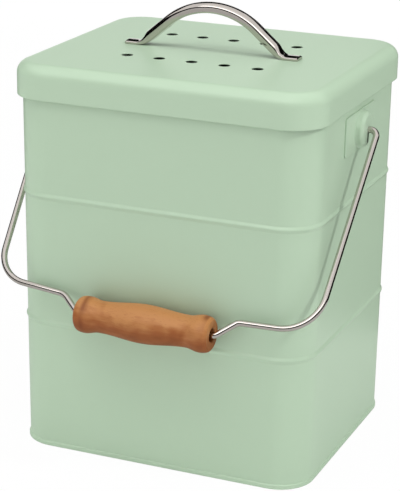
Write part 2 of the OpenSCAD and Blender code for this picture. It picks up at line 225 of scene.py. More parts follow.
green_coat = powder_coat("sage green powder coat", "#B4CBB1", "#B1C8AE")
tin_wall = make_piece("tin_wall", join_shapes(wall, (lap_points, lap_faces)), green_coat, "tin")
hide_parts("body_wrap")


# ---- Base -----------------------------------------------------------------------------------
# A shallow pan pressed from the same sheet. Its edge is folded down inside the wall and up again
# outside it, and that seam is the foot that the tin stands on. The panel has a shallow step.

BASE_R = wall_r(0)
hem_section = (
    [(BASE_R + 0.02, 3.5), (BASE_R + 0.08, 3.2), (BASE_R + 0.22, 2.95)]
    + arc(BASE_R + 0.2, 2.3, 0.6, 70, 0, 5)
    + arc(BASE_R + 0.15, 0.65, 0.65, 0, -90, 6) + arc(BASE_R - 0.75, 0.65, 0.65, -90, -180, 6))
panel_under = arc(BASE_R - 1.9, 4.5, 0.5, 0, 90, 4) + [(12.0, 5.0)] + arc(9.0, 4.6, 0.4, 90, 160, 3)
panel_under += [(8.0, 4.1), (6.5, 4.0)]
panel_top = [(6.5, 4.6), (8.3, 4.7)] + arc(9.3, 5.1, 0.5, 160, 90, 3) + [(12.0, 5.6)]
panel_top += arc(BASE_R - 1.15, 5.1, 0.5, 90, 0, 4) + [(BASE_R - 0.65, 0.8), (BASE_R + 0.05, 0.8)]
pan_section = hem_section + panel_under + panel_top
pan = sweep_round(CORNER_X, CORNER_Y, pan_section)
n = len(pan[0]) // len(pan_section)
last_under = (len(hem_section) + len(panel_under) - 1) * n
first_top = last_under + n
pan_faces = [f for f in pan[1] if not (last_under <= f[0] < last_under + n and f[2] >= first_top)]
pan_faces += [tuple(range(last_under, last_under + n)),
              tuple(reversed(range(first_top, first_top + n)))]
base = make_piece("base_pan_seamed", (pan[0], pan_faces), green_coat, "tin")
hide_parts("base_pan")


# ---- Ears -----------------------------------------------------------------------------------
# A wide plate pressed from 1 mm sheet for each side, with a domed boss that holds the bail's end
# clear of the wall. A keyhole lets the bail's upset head in. Four spot welds hold each plate,
# and they leave shallow dimples under the coat.

PIVOT_Z = 211.5
EAR_W, EAR_H, EAR_T = 55.0, 24.6, 1.0
PLATE_R = 2.0                           # corners of the plate
BOSS_R, BOSS_FACE_R, BOSS_H = 12.0, 8.4, 6.0
KEYHOLE_R, SLOT_W, SLOT_END = 2.07, 2.8, 9.0
WELDS = [(sx * 20.5, sy * 6.0) for sx in (-1, 1) for sy in (-1, 1)]


def keyhole(grow):
    """Outline of the pivot hole and the slot below it, grown by a small margin."""
    r, half = KEYHOLE_R + grow, SLOT_W / 2 + grow
    open_at = math.degrees(math.asin(half / r))
    top = [(r * cos(radians(a)), r * sin(radians(a)))
           for a in [-90 + open_at + (360 - 2 * open_at) * i / 20 for i in range(21)]]
    end = SLOT_END + grow - half
    foot = [(half * cos(radians(a)), -end + half * sin(radians(a))) for a in range(-180, 1, 20)]
    return top + foot


def ear_height(u, v):
    """Height of the pressed sheet's outer face above the wall: a slightly domed face on the boss,
    a round shoulder, a hollow round its foot, and shallow dimples at the welds."""
    r = hypot(u, v)
    side_r = BOSS_R - 0.8
    shoulder = side_r - BOSS_FACE_R
    if r <= BOSS_FACE_R:
        height = BOSS_H - 0.1 * (r / BOSS_FACE_R) ** 2
    elif r < side_r:
        height = BOSS_H - shoulder + sqrt(shoulder ** 2 - (r - BOSS_FACE_R) ** 2) - 0.1
    else:
        height = EAR_T + (BOSS_H - shoulder - EAR_T - 0.1) * max(0, 1 - (r - side_r) / 0.9) ** 2
    for x, y in WELDS:
        height -= 0.15 * math.exp(-(((u - x) ** 2 + (v - y) ** 2) / 1.9) ** 2)
    return height


def ear_shape(side):
    """Points and faces of one ear. side is 1 for the right and -1 for the left."""
    points, edges = [], []

    def add_ring(ring):
        first = len(points)
        points.extend(ring)
        edges.extend((first + i, first + (i + 1) % len(ring)) for i in range(len(ring)))

    for inset in (0.0, 0.12, 0.35, 0.8):
        add_ring(loop_round(EAR_W / 2 - PLATE_R, EAR_H / 2 - PLATE_R, PLATE_R - inset, 5))
    for grow in (0.0, 0.1, 0.3):
        add_ring(keyhole(grow))
    for r in (7.4, 8.4, 8.9, 9.4, 9.9, 10.3, 10.6, 10.85, 11.0, 11.12, 11.2, 11.32, 11.5, 11.75,
              12.05):
        add_ring([(r * cos(pi * i / 36), r * sin(pi * i / 36)) for i in range(72)])
    stop_v = 11.3                       # the last rings stop 1 mm inside the plate's long edges
    for r in (12.4, 12.7, 13.4):
        for s in (-1, 1):
            span = math.degrees(math.acos(stop_v / r))
            arc_points = [(s * r * cos(radians(a)), r * sin(radians(a)))
                          for a in [(-90 + span) + (180 - 2 * span) * i / 20 for i in range(21)]]
            first = len(points)
            points.extend(arc_points)
            edges.extend((first + i, first + i + 1) for i in range(20))
    for x, y in WELDS:
        for r in (0.6, 1.2, 1.8):
            add_ring([(x + r * cos(pi * i / 8), y + r * sin(pi * i / 8)) for i in range(16)])
    flat, _, triangles, *_ = delaunay_2d_cdt([Vector(p) for p in points], edges, [], 0, 1e-5)

    hole = keyhole(-0.001)

    def in_hole(x, y):
        odd = False
        for (x1, y1), (x2, y2) in zip(hole, hole[1:] + hole[:1]):
            if (y1 > y) != (y2 > y) and x < (x2 - x1) * (y - y1) / (y2 - y1) + x1:
                odd = not odd
        return odd

    def rolled(x, y):
        """How far the sheet's face drops at its cut edges."""
        over_x, over_y = abs(x) - EAR_W / 2 + PLATE_R, abs(y) - EAR_H / 2 + PLATE_R
        gap = PLATE_R - (hypot(over_x, over_y) if min(over_x, over_y) > 0 else max(over_x, over_y))
        return 0.3 * max(0, 1 - gap / 0.35) ** 2

    lean = math.atan(TAPER / TAPER_H)
    wall_x = CORNER_X + wall_r(PIVOT_Z) + 0.05

    def place(u, v, h):
        x = wall_x + h * cos(lean) + v * sin(lean)
        return (side * x, u * side, PIVOT_Z + v * cos(lean) - h * sin(lean))

    def sheet_at(x, y):
        """Thickness of the sheet, which is coined thinner along the keyhole's edge."""
        slot_y = max(SLOT_W / 2 - SLOT_END, min(0, y))
        gap = min(hypot(x, y) - KEYHOLE_R, hypot(x, y - slot_y) - SLOT_W / 2)
        return EAR_T * (0.4 + 0.6 * min(1, max(0, gap / 1.5)))

    kept = []
    for t in triangles:
        x = sum(flat[i][0] for i in t) / 3
        y = sum(flat[i][1] for i in t) / 3
        if not in_hole(x, y):
            kept.append(t)
    outer = [place(x, y, ear_height(x, y) - rolled(x, y)) for x, y in flat]
    inner = [place(x, y, max(0.0, ear_height(x, y) - sheet_at(x, y))) for x, y in flat]
    count = len(flat)
    faces = [tuple(t) for t in kept] + [tuple(count + i for i in reversed(t)) for t in kept]
    used = dict.fromkeys((t[i], t[(i + 1) % 3]) for t in kept for i in range(3))
    faces += [(b, a, count + a, count + b) for a, b in used if (b, a) not in used]
    return outer + inner, faces


for side, name in ((1, "right"), (-1, "left")):
    ear = make_piece("ear_pressed_" + name, ear_shape(side), green_coat, "tin", 50)
    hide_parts("ear_" + name)


# ---- Bail -----------------------------------------------------------------------------------
# One length of 4 mm stainless wire, bent cold: its ends turn in to the pivots and are upset into
# heads, and two jogs keep the grip in place. It is tumble-polished.

WIRE_R = 2.0
LEAN = 41                               # slope from straight down, where it leans on the front
SIDE_PLAY = -1.4                        # the bail is pushed this far to the left
PIN_X, ARM_X = 100.6, 111.9
AXLE_V = 147.3                          # from the pivots to the grip's axle
# Corners from the right pin to the left pin: x, distance from the pivots and bend radius. The
# right shoulder is bent 4 mm farther from the pivots than the left one.
bail_corners = [(PIN_X, 0.0, 0), (ARM_X, 0.0, 4.6), (106.3, 135.6, 24.5), (58.2, 136.8, 5),
                (46.2, AXLE_V, 6), (-45.6, AXLE_V, 6), (-57.9, 136.5, 11), (-106.9, 131.7, 22.2),
                (-ARM_X, 0.0, 4.6), (-PIN_X, 0.0, 0)]


def polished_steel(name, colour, roughness):
    """Polished stainless steel: bright and nearly colourless, with hairlines left by the mop."""
    finish, tree, place = new_finish(name)
    lines = add(tree, "Mapping", {"Vector": place, "Scale": (88.0, 2200.0, 2200.0)})
    hairs = add(tree, "TexNoise", {"Vector": lines.outputs["Vector"], "Scale": 1.0, "Detail": 2.0})
    cloud = add(tree, "TexNoise", {"Vector": place, "Scale": 60.0, "Detail": 2.0})
    rough = add(tree, "MapRange", {"Value": cloud.outputs["Fac"], "From Min": 0.3,
                                   "From Max": 0.7, "To Min": roughness * 0.8,
                                   "To Max": roughness * 1.3})
    bump = add(tree, "Bump", {"Height": hairs.outputs["Fac"], "Strength": 0.05,
                              "Distance": 0.02 * MM})
    return coat_surface(finish, tree, {
        "Base Color": srgb(colour), "Metallic": 1.0, "Roughness": rough.outputs["Result"],
        "Normal": bump.outputs["Normal"]})


def bend_path(points, bends, step=5):
    """The points of a flat path whose corners are rounded with the given radii, with a point for
    each step of so many degrees."""
    path = []
    for i, (p, r) in enumerate(zip(points, bends)):
        p = Vector(p)
        if r == 0:
            path.append(p)
            continue
        a, b = Vector(points[i - 1]), Vector(points[i + 1])
        u, v = (p - a).normalized(), (b - p).normalized()
        turn = math.atan2(u.x * v.y - u.y * v.x, u.dot(v))
        cut = r * math.tan(abs(turn) / 2)
        start, inward = p - u * cut, Vector((-u.y, u.x)) * (1 if turn > 0 else -1)
        centre = start + inward * r
        count = max(3, int(abs(math.degrees(turn)) / step))
        for k in range(count + 1):
            spin = Matrix.Rotation(turn * k / count, 2)
            path.append(centre + spin @ (start - centre))
    return path


def tube(path, radius, sides=24):
    """A round wire along a flat path, open at its two ends. Its normals stay in the plane."""
    points, faces = [], []
    for i, p in enumerate(path):
        before, after = path[max(i - 1, 0)], path[min(i + 1, len(path) - 1)]
        u = (p - before).normalized() if i else (after - p).normalized()
        v = (after - p).normalized() if i < len(path) - 1 else u
        mean = (u + v).normalized()
        across = Vector((-mean.y, mean.x)) / max(0.5, mean.dot(u))
        for k in range(sides):
            a = 2 * pi * k / sides
            q = p + across * (radius * cos(a))
            points.append((q.x, q.y, radius * sin(a)))
    for j in range(len(path) - 1):
        for i in range(sides):
            m = (i + 1) % sides
            faces.append((j * sides + i, j * sides + m, (j + 1) * sides + m, (j + 1) * sides + i))
    return points, faces


def lathe(section, steps=48, closed=False):
    """Turns a section of (radius, height) round the height axis."""
    points = [(r * cos(2 * pi * i / steps), r * sin(2 * pi * i / steps), z)
              for r, z in section for i in range(steps)]
    faces = []
    for j in range(len(section) if closed else len(section) - 1):
        k = (j + 1) % len(section)
        for i in range(steps):
            m = (i + 1) % steps
            faces.append((j * steps + i, j * steps + m, k * steps + m, k * steps + i))
    return points, faces


def moved(shape, place):
    """A shape with a matrix applied to its points."""
    return [tuple(place @ Vector(p)) for p in shape[0]], shape[1]


ON_BAIL = (Matrix.Translation((SIDE_PLAY, 0, PIVOT_Z))
           @ Matrix.Rotation(radians(270 - LEAN), 4, "X"))
bail_path = bend_path([(x, v) for x, v, r in bail_corners], [r for x, v, r in bail_corners])
head_section = [(0.02, 0.0), (2.5, 0.0)] + arc(2.7, 0.5, 0.5, -90, 0, 4)
head_section += arc(2.6, 0.6, 0.6, 0, 90, 4) + [(2.0, 1.2)]
bail_parts = [tube(bail_path, WIRE_R)]
for s in (-1, 1):
    bail_parts.append(moved(lathe(head_section, 32), Matrix.Translation((s * PIN_X, 0, 0))
                            @ Matrix.Rotation(s * pi / 2, 4, "Y")))
bright_steel = polished_steel("polished stainless steel", "#C4BDB7", 0.08)
bail_shape = moved(join_shapes(*bail_parts), ON_BAIL)
bail = make_piece("bail_bent_wire", bail_shape, bright_steel, "bail", 50)
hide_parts("bail_wire")


# ---- Grip -----------------------------------------------------------------------------------
# Turned from a close-grained hardwood such as acacia, bored through for the wire, sanded and
# oiled. The grain runs along it, and a band near each end is coloured darker.

GRIP_HALF, BORE_R = 44.3, 4.2
BELLY, WAIST, BULB, END_R, FACE_R = 12.08, 9.9, 11.5, 9.7, 9.0
WAIST_S, BULB_S = 29, 38
EDGE_CUT = 0.7                          # chamfer round each end face


def grip_r(s):
    """Radius at a distance along the axle from the middle: belly, waist and the bulb at the end."""
    if s < WAIST_S:
        return WAIST + (BELLY - WAIST) * (1 + cos(pi * s / WAIST_S)) / 2
    if s < BULB_S:
        return WAIST + (BULB - WAIST) * (1 - cos(pi * (s - WAIST_S) / (BULB_S - WAIST_S))) / 2
    t = min(1, (s - BULB_S) / (GRIP_HALF - EDGE_CUT - BULB_S))
    return END_R + (BULB - END_R) * sqrt(1 - t * t)


half_stops = [i * 1.5 for i in range(26)] + [
    BULB_S + (GRIP_HALF - EDGE_CUT - BULB_S) * sin(radians(a)) for a in range(6, 91, 6)]
grip_side = [(grip_r(s), s) for s in half_stops]
grip_side += arc(END_R - 0.25, GRIP_HALF - EDGE_CUT + 0.1, 0.25, 10, 40, 2)
grip_side += [(FACE_R + 0.1, GRIP_HALF - 0.06), (FACE_R - 0.15, GRIP_HALF)]
grip_section = [(r, -s) for r, s in grip_side[:0:-1]] + grip_side
mouth = arc(BORE_R + 0.6, GRIP_HALF - 0.6, 0.6, 90, 180, 4)
grip_section += mouth + [(r, -s) for r, s in mouth[::-1]]
grip_shape = lathe(grip_section, 96, closed=True)


def oiled_wood(name):
    """Oiled hardwood: honey brown, painted lighter along the top and darker and redder below as
    light and shade from above, with faint streaks 2 to 3 mm apart, fine pores and a darker band
    near each end. The oil leaves a low, soft sheen."""
    finish, tree, place = new_finish(name)
    along = add(tree, "Mapping", {"Vector": place, "Scale": (55.0, 420.0, 420.0)})
    warp = add(tree, "TexNoise", {"Vector": place, "Scale": 35.0, "Detail": 2.0})
    bent = add(tree, "VectorMath", {0: along.outputs["Vector"], 1: warp.outputs["Color"]},
               operation="ADD")
    streak = add(tree, "TexNoise", {"Vector": bent.outputs["Vector"], "Scale": 1.0, "Detail": 4.0})
    patch = add(tree, "TexNoise", {"Vector": place, "Scale": 60.0, "Detail": 2.0,
                                   "Distortion": 0.4})
    height = add(tree, "SeparateXYZ", {"Vector": place})
    # Painted light and shade: the wood is mixed lighter towards the top of the grip and darker
    # below it, by height.
    painted_top_light = add(tree, "MapRange", {"Value": height.outputs["Z"], "From Min": 97 * MM,
                                 "From Max": 111 * MM, "To Min": 0.0, "To Max": 0.42})
    part = add(tree, "Math", {0: streak.outputs["Fac"], 1: 0.3, 2: painted_top_light.outputs["Result"]},
               operation="MULTIPLY_ADD")
    grain = add(tree, "Math", {0: patch.outputs["Fac"], 1: 0.68, 2: part.outputs[0]},
                operation="MULTIPLY_ADD")
    ramp = add(tree, "ValToRGB", {"Fac": grain.outputs[0]})
    stops = ramp.color_ramp.elements
    stops[0].position, stops[0].color = 0.45, srgb("#84471A")
    stops[1].position, stops[1].color = 0.86, srgb("#B47C49")
    middle = stops.new(0.62)
    middle.color = srgb("#945427")
    along_grip = add(tree, "Math", {0: height.outputs["X"], 1: -SIDE_PLAY * MM}, operation="ADD")
    zone = add(tree, "MapRange", {"Value": along_grip.outputs[0], "From Min": -GRIP_HALF * MM,
                                  "From Max": GRIP_HALF * MM})
    # A darker band is mixed into the wood near each end of the grip, unevenly along its length.
    end_band_ramp = add(tree, "ValToRGB", {"Fac": zone.outputs["Result"]})
    rings = end_band_ramp.color_ramp.elements
    rings[0].color = rings[1].color = (0, 0, 0, 1)
    for spot, depth in ((-40, 0), (-38, 0.8), (-37, 0.8), (-34, 0), (38, 0), (40.5, 0.8),
                        (42, 0.8), (43, 0)):
        rings.new(0.5 + spot / 2 / GRIP_HALF).color = (depth, depth, depth, 1)
    uneven = add(tree, "MapRange", {"Value": patch.outputs["Fac"], "From Min": 0.62,
                                    "From Max": 0.4, "To Min": 0.1, "To Max": 1.0})
    end_band_mask = add(tree, "Math", {0: end_band_ramp.outputs["Color"], 1: uneven.outputs["Result"]},
                operation="MULTIPLY")
    with_end_bands = add(tree, "Mix", {"Factor": end_band_mask.outputs[0], "A": ramp.outputs["Color"],
                                "B": srgb("#6C300C")}, data_type="RGBA")
    turned = add(tree, "Mapping", {"Vector": place, "Scale": (1100.0, 40.0, 40.0)})
    marks = add(tree, "TexNoise", {"Vector": turned.outputs["Vector"], "Scale": 1.0, "Detail": 1.0})
    pore_map = add(tree, "Mapping", {"Vector": place, "Scale": (170.0, 2600.0, 2600.0)})
    pores = add(tree, "TexNoise", {"Vector": pore_map.outputs["Vector"], "Scale": 1.0,
                                   "Detail": 1.0})
    pits = add(tree, "MapRange", {"Value": pores.outputs["Fac"], "From Min": 0.28,
                                  "From Max": 0.38, "To Min": 0.4, "To Max": 0.0})
    dark = add(tree, "Mix", {"Factor": pits.outputs["Result"], "A": with_end_bands.outputs["Result"],
                             "B": srgb("#7E431D")}, data_type="RGBA")
    relief = add(tree, "Math", {0: marks.outputs["Fac"], 1: 1.5, 2: pores.outputs["Fac"]},
                 operation="MULTIPLY_ADD")
    bump = add(tree, "Bump", {"Height": relief.outputs[0], "Strength": 0.3,
                              "Distance": 0.05 * MM})
    return coat_surface(finish, tree, {
        "Base Color": dark.outputs["Result"], "Roughness": 0.48, "IOR": 1.5,
        "Specular IOR Level": 0.3, "Normal": bump.outputs["Normal"]})


warm_wood = oiled_wood("oiled acacia")
ON_AXLE = ON_BAIL @ Matrix.Translation((0, AXLE_V, 0)) @ Matrix.Rotation(pi / 2, 4, "Y")
grip = make_piece("grip_turned", moved(grip_shape, ON_AXLE), warm_wood, "grip", 50)
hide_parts("wood_grip")


# ---- Lid ------------------------------------------------------------------------------------
# Deep-drawn from 0.6 mm steel, with a wide soft edge round the top and the skirt's raw edge
# turned in. Ten vents and the two stud holes are punched from above, and the punch rounds the
# upper edge of each. Coated as the tin is.

LID_TOP, SKIRT, LID_OVER = 250.0, 21.4, 2.55
EDGE_R, LID_CORNER = 7.9, 23.4          # the top's rounded edge, and the corners seen from above
FLAT_R = LID_CORNER - EDGE_R
LID_X = CORNER_X + CORNER_R + LID_OVER - LID_CORNER
LID_Y = CORNER_Y + CORNER_R + LID_OVER - LID_CORNER
VENT_R, VENT_PITCH, VENT_ROW = 3.65, 21.65, 34.3
VENT_SHIFT = (0.3, 0.9)                 # the vents' middle from the lid's middle
STUD_HOLE_R, STUD_X = 2.25, 54.5
HOLE_SIDES = 40
LIP, BREAK_OUT = 0.15, 0.35             # rounding by the punch above, and widening below
vents = [(VENT_SHIFT[0] + (i - 2) * VENT_PITCH, VENT_SHIFT[1] + s * VENT_ROW)
         for i in range(5) for s in (-1, 1)]
studs = [(s * STUD_X, 0.0) for s in (-1, 1)]

skirt_z = LID_TOP - SKIRT
lid_outer = arc(FLAT_R, LID_TOP - EDGE_R, EDGE_R, 90, 0, 16)
lid_outer += [(LID_CORNER, LID_TOP - EDGE_R - 1.5), (LID_CORNER, skirt_z + 2.0)]
lid_hem = (arc(LID_CORNER - 0.6, skirt_z + 0.6, 0.6, 0, -90, 4)
           + arc(LID_CORNER - 0.62, skirt_z + 0.6, 0.6, -90, -180, 4)
           + arc(LID_CORNER - 0.95, skirt_z + 4.3, 0.25, 180, 0, 4))
lid_inner = [(LID_CORNER - SHEET, skirt_z + 4.6), (LID_CORNER - SHEET, LID_TOP - EDGE_R - 1.5)]
lid_inner += arc(FLAT_R, LID_TOP - EDGE_R, EDGE_R - SHEET, 0, 90, 12)
lid_section = lid_outer + lid_hem + lid_inner
lid_wall = sweep_round(LID_X, LID_Y, lid_section, closed=False)


def circle(x, y, r):
    """Points of a hole's edge."""
    return [(x + r * cos(2 * pi * i / HOLE_SIDES), y + r * sin(2 * pi * i / HOLE_SIDES))
            for i in range(HOLE_SIDES)]


def pierced_sheet(outline, z, holes):
    """A flat sheet at height z inside an outline, with round holes at (x, y, r)."""
    points, edges = [], []
    for ring in [outline] + [circle(*hole) for hole in holes]:
        first = len(points)
        points += ring
        edges += [(first + i, first + (i + 1) % len(ring)) for i in range(len(ring))]
    flat, _, triangles, *_ = delaunay_2d_cdt([Vector(p) for p in points], edges, [], 0, 1e-6)
    faces = []
    for t in triangles:
        x = sum(flat[i][0] for i in t) / 3
        y = sum(flat[i][1] for i in t) / 3
        if all(hypot(x - hx, y - hy) > r * 0.985 for hx, hy, r in holes):
            faces.append(tuple(t))
    return [(x, y, z) for x, y in flat], faces


def punched_wall(x, y, r):
    """The wall of a punched hole, with its upper edge rounded and its lower part broken out."""
    rings = [(r + LIP * (1 - sin(radians(a))), LID_TOP - LIP * (1 - cos(radians(a))))
             for a in (0, 22, 45, 67, 90)] + [(r, LID_TOP - 0.25), (r + BREAK_OUT, LID_TOP - SHEET)]
    points = [(px, py, z) for ring_r, z in rings for px, py in circle(x, y, ring_r)]
    n = HOLE_SIDES
    faces = [(j * n + (i + 1) % n, j * n + i, (j + 1) * n + i, (j + 1) * n + (i + 1) % n)
             for j in range(len(rings) - 1) for i in range(n)]
    return points, faces


flat_edge = loop_round(LID_X, LID_Y, FLAT_R)
holes = [(x, y, VENT_R) for x, y in vents] + [(x, y, STUD_HOLE_R) for x, y in studs]
lid_sheet = pierced_sheet(flat_edge, LID_TOP, [(x, y, r + LIP) for x, y, r in holes])
under = pierced_sheet(flat_edge, LID_TOP - SHEET, [(x, y, r + BREAK_OUT) for x, y, r in holes])
under = (under[0], [f[::-1] for f in under[1]])
walls = [punched_wall(*hole) for hole in holes]
lid = make_piece("lid_drawn", join_shapes(lid_wall, lid_sheet, under, *walls), green_coat, "lid")
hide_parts("lid_shell")


# ---- Lid handle -----------------------------------------------------------------------------
# A half-oval bar of stainless steel, bent into a bow, with its ends pressed flat for feet and
# polished. A threaded stud is welded under each foot and goes through the lid.

FOOT_X = 58.4                           # tip of a foot
BOW_R, BOW_ANGLE, BOW_TOP = 42.7, 40.4, LID_TOP + 24.4
BEND_R = 17.0                           # where a leg turns into its foot
FOOT_SIZE, BOW_SIZE = (9.8, 2.4), (9.0, 6.6)    # width and thickness
slope = radians(BOW_ANGLE)
ramp_low = LID_TOP + BEND_R * (1 - cos(slope))
ramp_high = (BOW_R * sin(slope), BOW_TOP - BOW_R * (1 - cos(slope)))
BEND_X = ramp_high[0] + BEND_R * sin(slope) + (ramp_high[1] - ramp_low) / math.tan(slope)

half_bow = []                           # stations of x, height, slope, width and thickness
for i in range(7):
    k = i / 6
    f = sin(pi / 2 * k)
    half_bow.append((FOOT_X - k, LID_TOP, 0, FOOT_SIZE[0] * (0.88 + 0.12 * f),
                     FOOT_SIZE[1] * (0.7 + 0.3 * f)))
for i in range(1, 4):
    half_bow.append((FOOT_X - 1 - (FOOT_X - 1 - BEND_X) * i / 4, LID_TOP, 0, *FOOT_SIZE))
for i in range(21):
    k = i / 20
    pressed = (1 + cos(pi * k)) / 2
    half_bow.append((BEND_X - BEND_R * sin(slope * k), LID_TOP + BEND_R * (1 - cos(slope * k)),
                     slope * k, *(f * pressed + b * (1 - pressed)
                                  for f, b in zip(FOOT_SIZE, BOW_SIZE))))
for i in range(31):
    a = slope * (1 - i / 30)
    half_bow.append((BOW_R * sin(a), BOW_TOP - BOW_R * (1 - cos(a)), a, *BOW_SIZE))
other_half = [(-x, z, -a, w, h) for x, z, a, w, h in half_bow][-2::-1]


def half_oval(w, h):
    """Outline of the bar: flat below, rounded at its lower edges and crowned above."""
    e, side = 0.2 * h, 0.54 * h
    return ([(0.0, 0.0)] + arc(w / 2 - e, e, e, -90, -10, 5)
            + [(w / 2 * cos(radians(a)), side + (h - side) * sin(radians(a)))
               for a in range(0, 181, 6)] + arc(-w / 2 + e, e, e, 190, 270, 5))


bow_points = []
for x, z, a, w, h in half_bow + other_half:
    ring = half_oval(w, h)
    bow_points += [(x + q * sin(a), y, z + 0.05 + q * cos(a)) for y, q in ring]
n = len(ring)
rows = len(bow_points) // n
bow_faces = [(j * n + i, j * n + (i + 1) % n, (j + 1) * n + (i + 1) % n, (j + 1) * n + i)
             for j in range(rows - 1) for i in range(n)]
bow_faces += [tuple(reversed(range(n))), tuple(range((rows - 1) * n, rows * n))]

STUD_LOW, PITCH = 242.3, 0.7
thread = [(0.02, STUD_LOW), (1.4, STUD_LOW), (1.6, STUD_LOW + 0.2)]
z = STUD_LOW + 0.3
while z < 249.2:
    thread += [(1.66, z), (1.98, z + 0.25), (1.98, z + 0.4), (1.66, z + 0.65)]
    z += PITCH
thread += [(2.0, 249.4), (2.0, 250.4)]
stud_parts = [moved(lathe(thread, 32), Matrix.Translation((x, 0, 0))) for x, _ in studs]
bow_shape = join_shapes((bow_points, bow_faces), *stud_parts)
bow = make_piece("lid_bow", bow_shape, bright_steel, "lid", 35)
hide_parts("lid_handle")


# ---- Nuts and washers -----------------------------------------------------------------------
# Two plain M4 hexagon nuts with chamfered corners on flat washers hold the bow under the lid.
# Both are steel with bright zinc plating, which is greyer and duller than the bow.

NUT_Z, NUT_H, WASHER_Z = 243.25, 3.2, 246.5


def hex_nut(x):
    """A hexagon with its corners turned off at 30 degrees at both ends, and a bore."""
    across, n = 7.0, 48
    turns = [2 * pi * i / n for i in range(n)]
    rings = []
    for z, corner_cut in ((0, 0.62), (0.36, 0.0), (NUT_H - 0.36, 0.0), (NUT_H, 0.62)):
        corner_r = across / 2 / cos(pi / 6) - corner_cut
        rings.append([(min(across / 2 / cos((a + pi / 6) % (pi / 3) - pi / 6), corner_r), a, z)
                      for a in turns])
    for r, z in ((2.35, NUT_H), (2.05, NUT_H - 0.3), (2.05, 0.3), (2.35, 0)):
        rings.append([(r, a, z) for a in turns])
    points = [(x + r * cos(a), r * sin(a), NUT_Z + z) for ring in rings for r, a, z in ring]
    faces = []
    for j in range(len(rings)):
        k = (j + 1) % len(rings)
        faces += [(j * n + i, j * n + (i + 1) % n, k * n + (i + 1) % n, k * n + i)
                  for i in range(n)]
    return points, faces


washer_section = ([(4.3, 0.2), (4.3, 0.6)] + arc(4.1, 0.6, 0.2, 0, 90, 3)
                  + [(2.3, 0.8), (2.15, 0.65), (2.15, 0.15), (2.3, 0.0)]
                  + arc(4.1, 0.2, 0.2, -90, 0, 3))[:-1]
zinc = polished_steel("bright zinc plate", "#B3B6B8", 0.32)
nuts = make_piece("nuts_m4", join_shapes(*[hex_nut(x) for x, _ in studs]), zinc, "lid", 30)
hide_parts("handle_nuts")
washer_parts = [moved(lathe(washer_section, 48, closed=True),
                      Matrix.Translation((x, 0, WASHER_Z))) for x, _ in studs]
washers = make_piece("washers_m4", join_shapes(*washer_parts), zinc, "lid", 30)
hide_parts("handle_washers")


# ---- Charcoal filter ------------------------------------------------------------------------
# A moulded polypropylene frame is clamped under the lid by the same two studs. A slotted grille
# snaps over its ledges and holds up a thick pad of black felt filled with activated charcoal.


def moulded_plastic(name, colour):
    """Moulded polypropylene: slightly waxy, a little light goes in, with a fine spark texture."""
    finish, tree, place = new_finish(name)
    spark = add(tree, "TexNoise", {"Vector": place, "Scale": 900.0, "Detail": 2.0})
    bump = add(tree, "Bump", {"Height": spark.outputs["Fac"], "Strength": 0.12,
                              "Distance": 0.04 * MM})
    cloud = add(tree, "TexNoise", {"Vector": place, "Scale": 20.0, "Detail": 1.0})
    rough = add(tree, "MapRange", {"Value": cloud.outputs["Fac"], "To Min": 0.42, "To Max": 0.52})
    return coat_surface(finish, tree, {
        "Base Color": srgb(colour), "Roughness": rough.outputs["Result"], "IOR": 1.49,
        "Subsurface Weight": 0.15, "Subsurface Radius": (1.0, 1.0, 1.0),
        "Subsurface Scale": 1.2 * MM, "Normal": bump.outputs["Normal"]})


def charcoal_felt(name):
    """Needled polyester felt with charcoal in it: black, matt, with fibres about 0.4 mm apart."""
    finish, tree, place = new_finish(name)
    fibres = add(tree, "TexNoise", {"Vector": place, "Scale": 1300.0, "Detail": 3.0,
                                    "Distortion": 1.5})
    clumps = add(tree, "TexNoise", {"Vector": place, "Scale": 160.0, "Detail": 3.0})
    shade = add(tree, "MapRange", {"Value": fibres.outputs["Fac"], "From Min": 0.3,
                                   "From Max": 0.75})
    colour = add(tree, "Mix", {"Factor": shade.outputs["Result"], "A": srgb("#030303"),
                               "B": srgb("#141414")}, data_type="RGBA")
    high = add(tree, "Math", {0: clumps.outputs["Fac"], 1: 3.0, 2: fibres.outputs["Fac"]},
               operation="MULTIPLY_ADD")
    bump = add(tree, "Bump", {"Height": high.outputs[0], "Strength": 0.9, "Distance": 0.25 * MM})
    return coat_surface(finish, tree, {
        "Base Color": colour.outputs["Result"], "Roughness": 0.95, "Specular IOR Level": 0.1,
        "Sheen Weight": 0.02, "Sheen Roughness": 0.5, "Normal": bump.outputs["Normal"]})


def soften(node, width, angle=40):
    """Rounds the edges of a carried-over CAD node, as a mould or a press does."""
    part = frame["nodes"][node]
    weld = part.modifiers.new("weld", "WELD")
    weld.merge_threshold = 0.002 * MM
    edge = part.modifiers.new("soft edges", "BEVEL")
    edge.width = width * MM
    edge.segments = 2
    edge.limit_method = "ANGLE"
    edge.angle_limit = radians(angle)
    edge.harden_normals = False


def refinish(node, finish):
    """Gives a carried-over CAD node its real finish."""
    for slot in frame["nodes"][node].material_slots:
        slot.material = finish


white_pp = moulded_plastic("white polypropylene", "#DEE0DB")
for part in ("filter_frame", "filter_grille"):
    soften(part, 0.25)
    refinish(part, white_pp)

PAD_X, PAD_Y, PAD_LOW, PAD_T = 48.1, 44.2, 242.05, 6.4
cells = 60                              # squares across the pad's top and bottom
row = cells + 1
pad_points, pad_faces = [], []
for layer in (0, 1):
    for j in range(row):
        for i in range(row):
            x = PAD_X * (2 * i / cells - 1)
            y = PAD_Y * (2 * j / cells - 1)
            edge = min(PAD_X - abs(x), PAD_Y - abs(y))
            round_off = 1.1 * max(0, 1 - edge / 2.2) ** 2
            wave = 0.16 * sin(x * 0.9 + 1.3 * sin(y * 0.31)) * sin(y * 0.8 + sin(x * 0.23))
            z = PAD_LOW + (PAD_T - round_off - 0.2 + wave if layer else round_off + 0.2 + wave)
            pad_points.append((x, y, z))
for layer in (0, 1):
    first = layer * row * row
    for j in range(cells):
        for i in range(cells):
            a = first + j * row + i
            quad = (a, a + 1, a + row + 1, a + row)
            pad_faces.append(quad if layer else quad[::-1])
